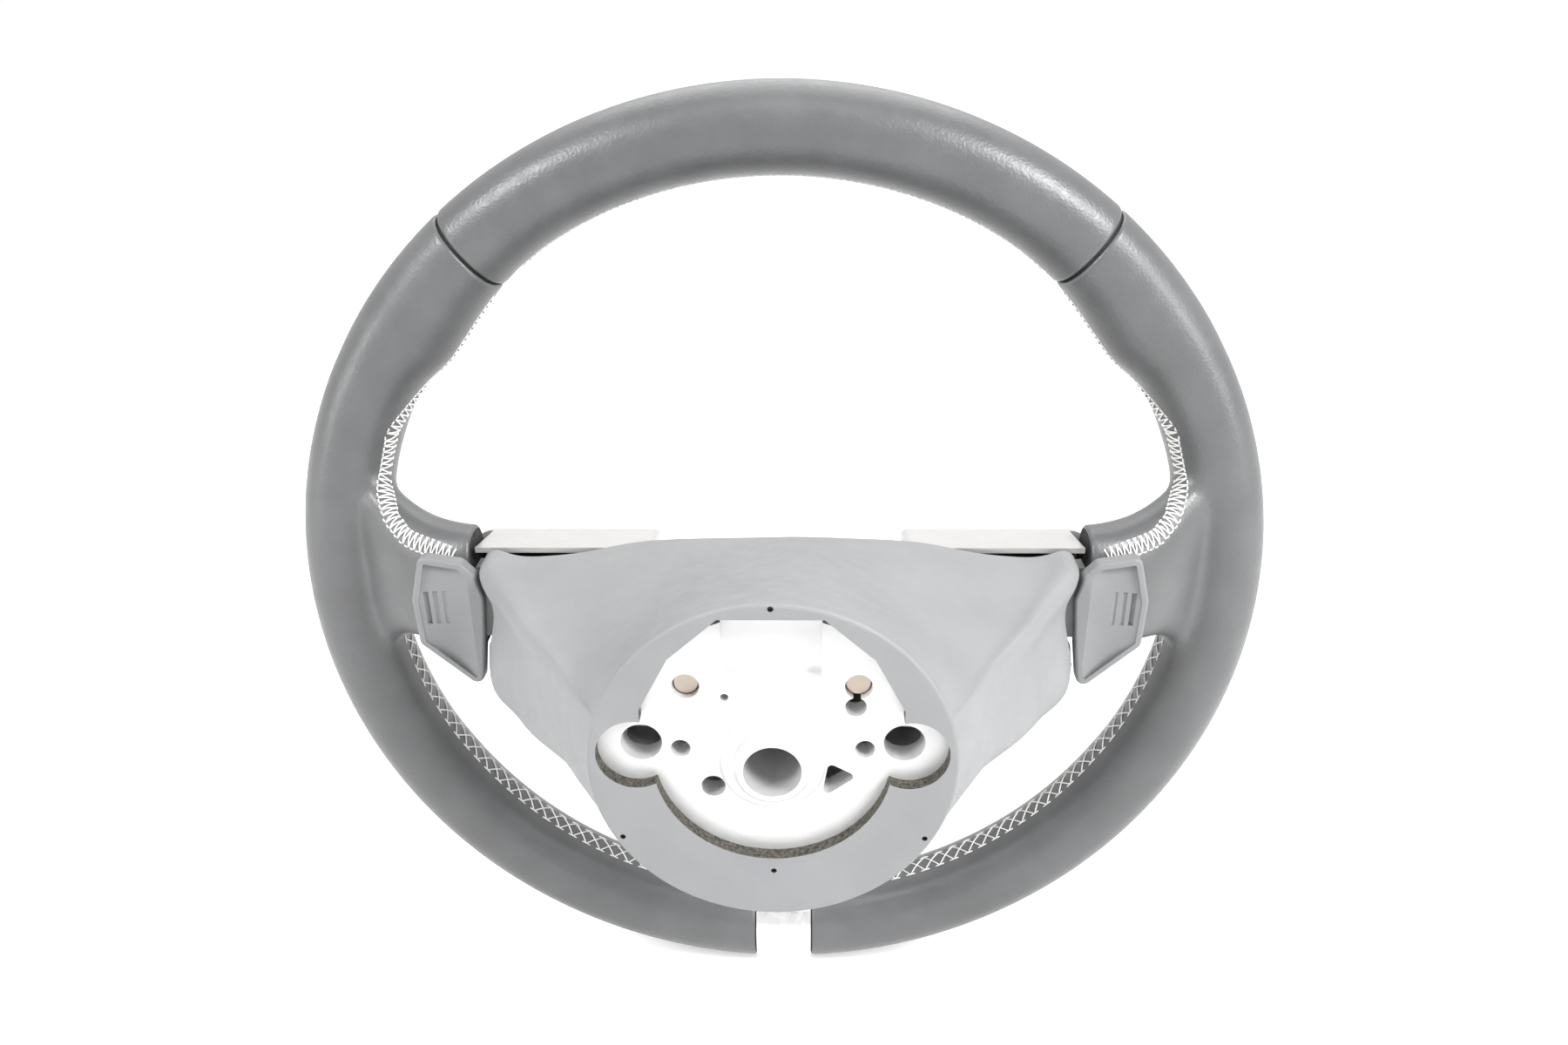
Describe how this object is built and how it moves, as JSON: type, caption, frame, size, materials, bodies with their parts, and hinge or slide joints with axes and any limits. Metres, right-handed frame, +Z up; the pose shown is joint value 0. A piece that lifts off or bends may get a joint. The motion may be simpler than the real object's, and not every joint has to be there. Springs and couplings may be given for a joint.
{
  "type": "car steering wheel",
  "caption": "Car steering wheel with a stitched leather rim, dished spokes, satin silver trims, shift paddles behind the side spokes, switch keys and a horn pad.",
  "frame": {"origin": "on the column axis, at the rear face of the hub bush", "axes": "+X to the driver's right, +Y along the column axis towards the column, +Z up with the wheel straight ahead"},
  "size_m": [0.3752, 0.143, 0.3752],
  "materials": {
    "casting": "die-cast, bead blasted",
    "bush_steel": "turned",
    "foam": "moulded skin",
    "leather_smooth": "satin, smooth",
    "leather_grip": "satin, fine grain",
    "bright_trim": "satin silver",
    "cover_plastic": "fine moulded texture",
    "screw_steel": "zinc plated",
    "pad_skin": "soft-touch grain",
    "plate_steel": "pressed, zinc plated",
    "cushion_fabric": "folded woven nylon",
    "bolt_brass": "copper toned",
    "insulator": "moulded",
    "spring_steel": "drawn wire and strip",
    "key_plastic": "soft lacquer",
    "pin_steel": "ground",
    "paddle_plastic": "satin"
  },
  "bodies": {
    "wheel": {"armature": "casting", "rim_core": "plate_steel", "hub_bush": "bush_steel", "rim_foam": "foam", "leather_top": "leather_smooth", "leather_left": "leather_grip", "leather_right": "leather_grip", "rim_clasp": "bright_trim", "lower_trim": "bright_trim", "rear_cover": "cover_plastic", "cover_screws": "screw_steel", "guide_bushes": "insulator", "horn_contacts": "bolt_brass", "horn_springs": "spring_steel", "spoke_trim_left": "bright_trim", "spoke_trim_right": "bright_trim", "switch_housing_left": "key_plastic", "switch_housing_right": "key_plastic", "rocker_pin_left": "pin_steel", "rocker_pin_right": "pin_steel", "paddle_bracket_left": "insulator", "paddle_bracket_right": "insulator", "paddle_pin_left": "pin_steel", "paddle_pin_right": "pin_steel", "paddle_spring_left": "spring_steel", "paddle_spring_right": "spring_steel", "paddle_switch_left": "insulator", "paddle_switch_right": "insulator"},
    "horn_pad": {"pad_cover": "pad_skin", "module_plate": "plate_steel", "inflator": "plate_steel", "airbag_cushion": "cushion_fabric", "guide_bolts": "bolt_brass"},
    "paddle_left": {"paddle_left": "paddle_plastic"},
    "key_inner_left": {"key_inner_left": "key_plastic"},
    "key_outer_left": {"key_outer_left": "key_plastic"},
    "rocker_left": {"rocker_left": "key_plastic"},
    "paddle_right": {"paddle_right": "paddle_plastic"},
    "key_inner_right": {"key_inner_right": "key_plastic"},
    "key_outer_right": {"key_outer_right": "key_plastic"},
    "rocker_right": {"rocker_right": "key_plastic"}
  },
  "joints": [
    {"name": "horn_press", "type": "slide", "parent": "wheel", "child": "horn_pad", "axis": [0, 1, 0], "range_m": [0, 0.0015], "stiffness_N_per_m": 12000, "springref_m": -0.001, "deforming": ["horn_springs"]},
    {"name": "paddle_pull_left", "type": "hinge", "parent": "wheel", "child": "paddle_left", "pos_m": [-0.09, -0.0795, 0.014], "axis": [0, 0, 1], "range_deg": [0, 5], "stiffness_Nm_per_rad": 1.5, "deforming": ["paddle_spring_left"]},
    {"name": "key_inner_left_press", "type": "slide", "parent": "wheel", "child": "key_inner_left", "axis": [0, 1, 0], "range_m": [0, 0.0012], "stiffness_N_per_m": 2500},
    {"name": "key_outer_left_press", "type": "slide", "parent": "wheel", "child": "key_outer_left", "axis": [0, 1, 0], "range_m": [0, 0.0012], "stiffness_N_per_m": 2500},
    {"name": "rocker_left_tilt", "type": "hinge", "parent": "wheel", "child": "rocker_left", "pos_m": [-0.09, -0.1145, 0.008], "axis": [1, 0, 0], "range_deg": [-3.5, 3.5], "stiffness_Nm_per_rad": 0.5},
    {"name": "paddle_pull_right", "type": "hinge", "parent": "wheel", "child": "paddle_right", "pos_m": [0.09, -0.0795, 0.014], "axis": [0, 0, -1], "range_deg": [0, 5], "stiffness_Nm_per_rad": 1.5, "deforming": ["paddle_spring_right"]},
    {"name": "key_inner_right_press", "type": "slide", "parent": "wheel", "child": "key_inner_right", "axis": [0, 1, 0], "range_m": [0, 0.0012], "stiffness_N_per_m": 2500},
    {"name": "key_outer_right_press", "type": "slide", "parent": "wheel", "child": "key_outer_right", "axis": [0, 1, 0], "range_m": [0, 0.0012], "stiffness_N_per_m": 2500},
    {"name": "rocker_right_tilt", "type": "hinge", "parent": "wheel", "child": "rocker_right", "pos_m": [0.09, -0.1145, 0.008], "axis": [1, 0, 0], "range_deg": [-3.5, 3.5], "stiffness_Nm_per_rad": 0.5}
  ]
}
